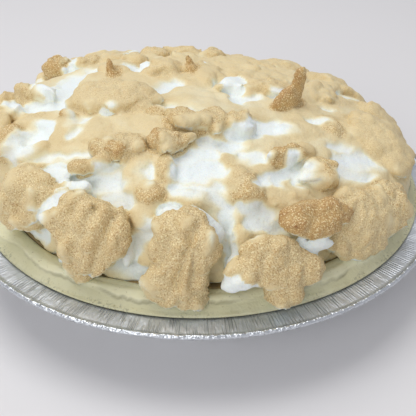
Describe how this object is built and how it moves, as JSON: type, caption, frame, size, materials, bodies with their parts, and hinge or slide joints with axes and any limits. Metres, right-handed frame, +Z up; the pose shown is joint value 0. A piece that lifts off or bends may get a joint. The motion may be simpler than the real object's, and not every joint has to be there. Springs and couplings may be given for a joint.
{
  "type": "meringue pie",
  "caption": "Round meringue pie in its crimped foil tin: folded pastry edge, cooked filling and a deep, craggy browned meringue.",
  "frame": {"origin": "middle of the tin's flat base, on the surface that it stands on", "axes": "+Z up; -Y towards the front of the pie, the side with the three large hanging dollops; +X to the right seen from there"},
  "size_m": [0.245, 0.245, 0.0918],
  "materials": {
    "foil": "bright crimped foil",
    "pastry": "baked pastry, pale and dry",
    "filling": "cooked filling, moist",
    "meringue": "baked meringue, golden on the crags and white between them"
  },
  "bodies": {
    "root": {"tin": "foil", "crust": "pastry", "filling": "filling", "meringue": "meringue"}
  },
  "joints": []
}
